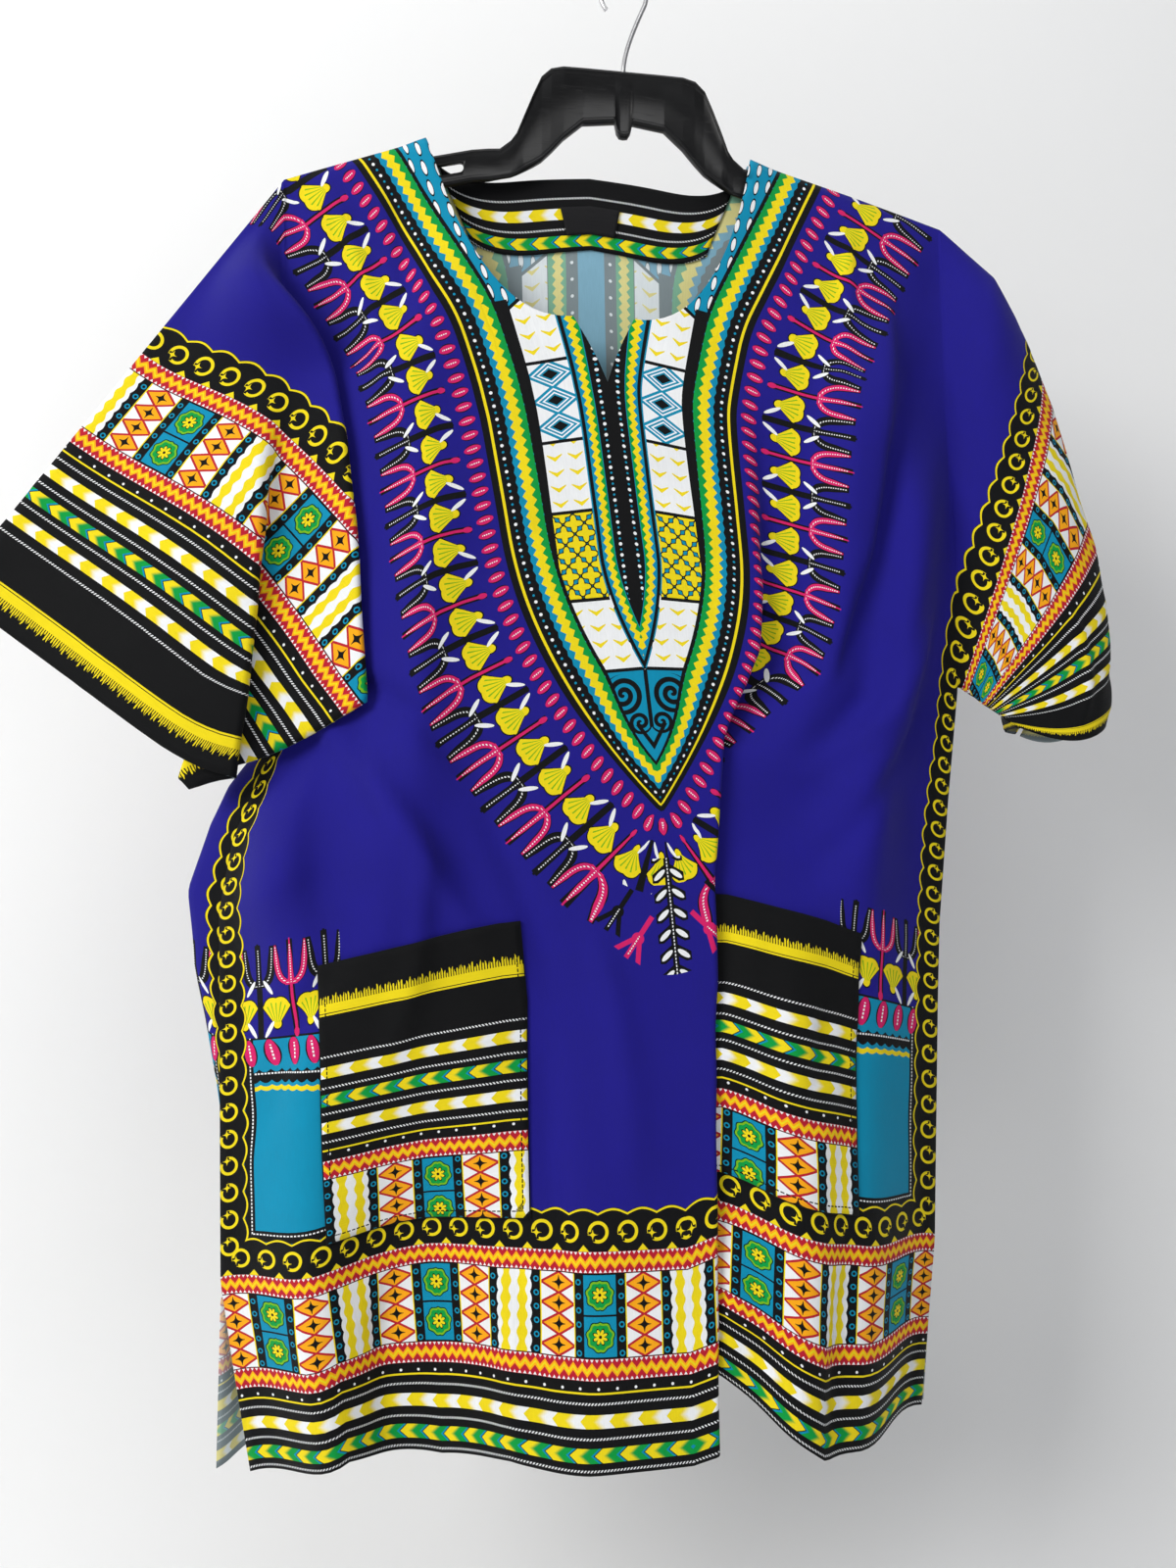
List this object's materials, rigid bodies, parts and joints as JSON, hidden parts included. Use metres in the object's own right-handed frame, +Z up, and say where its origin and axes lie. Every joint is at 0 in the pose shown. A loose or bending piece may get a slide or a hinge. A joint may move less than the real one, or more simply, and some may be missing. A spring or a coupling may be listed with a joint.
{
  "type": "dashiki shirt on hanger",
  "caption": "Short-sleeved pullover shirt with a notched round neck, patch pockets and side slits, hung on a moulded arm hanger with a wire hook.",
  "frame": {"origin": "top of the hook's inside, where the hanger hangs on its rail", "axes": "+Z up, +X to the viewer's right across the front, +Y from the front of the shirt to its back"},
  "size_m": [0.8447, 0.1703, 1.07],
  "materials": {
    "front_panel": "printed cotton",
    "back_panel": "printed cotton",
    "neck_facing": "printed cotton, wrong side",
    "neck_label": "plain woven tape",
    "pocket_left": "printed cotton",
    "pocket_right": "printed cotton",
    "hanger_body": "moulded",
    "hanger_hook": "plated wire"
  },
  "bodies": {
    "root": {"front_panel": "front_panel", "back_panel": "back_panel", "neck_facing": "neck_facing", "neck_label": "neck_label", "pocket_left": "pocket_left", "pocket_right": "pocket_right", "hanger_body": "hanger_body", "hanger_hook": "hanger_hook"}
  },
  "joints": []
}
